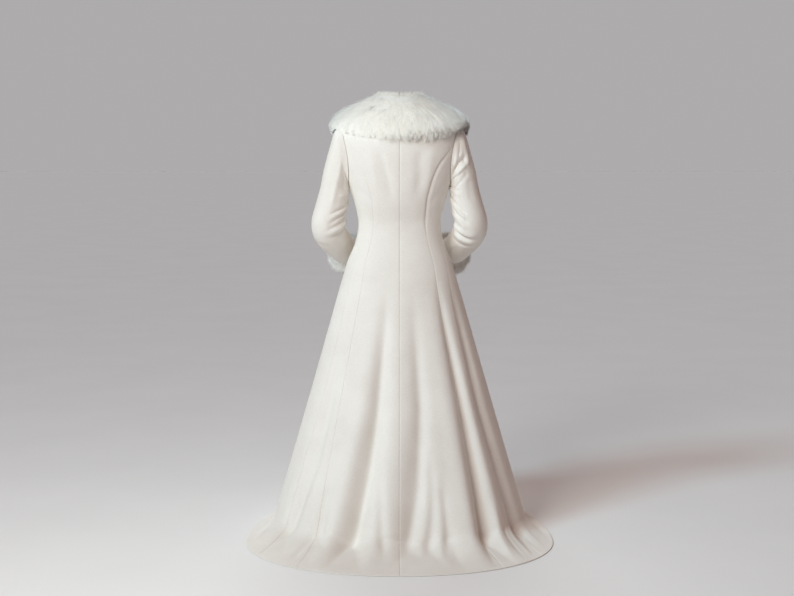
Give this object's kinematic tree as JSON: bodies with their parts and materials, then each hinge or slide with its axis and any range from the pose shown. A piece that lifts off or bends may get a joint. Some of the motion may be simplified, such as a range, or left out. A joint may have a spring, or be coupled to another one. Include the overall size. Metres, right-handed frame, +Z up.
{
  "type": "princess coat",
  "caption": "Full-length princess-seamed bridal coat with a train, worn form kept hollow, wide fur collar, fur cuffs and a buttoned front.",
  "frame": {"origin": "middle of the neckline at the height of the nape, where the wearer's neck and shoulders carry the coat", "axes": "+Z up, the front faces -Y, so the wearer's left is +X; the hem lies at z = -1.44 m"},
  "size_m": [1.023, 1.067, 1.4993],
  "materials": {
    "wool": "matt ivory wool coating with a short brushed nap",
    "fur": "long soft white fur, 25 to 30 mm pile",
    "covered_button": "domed buttons covered in the coat's wool"
  },
  "bodies": {
    "root": {"back_left": "wool", "back_right": "wool", "side_back_left": "wool", "side_back_right": "wool", "side_front_left": "wool", "side_front_right": "wool", "front_left": "wool", "front_right": "wool", "sleeve_upper_left": "wool", "sleeve_upper_right": "wool", "sleeve_under_left": "wool", "sleeve_under_right": "wool", "cuff_left": "fur", "cuff_right": "fur", "fur_collar": "fur", "button_1": "covered_button", "button_2": "covered_button", "button_3": "covered_button", "button_4": "covered_button"}
  },
  "joints": []
}
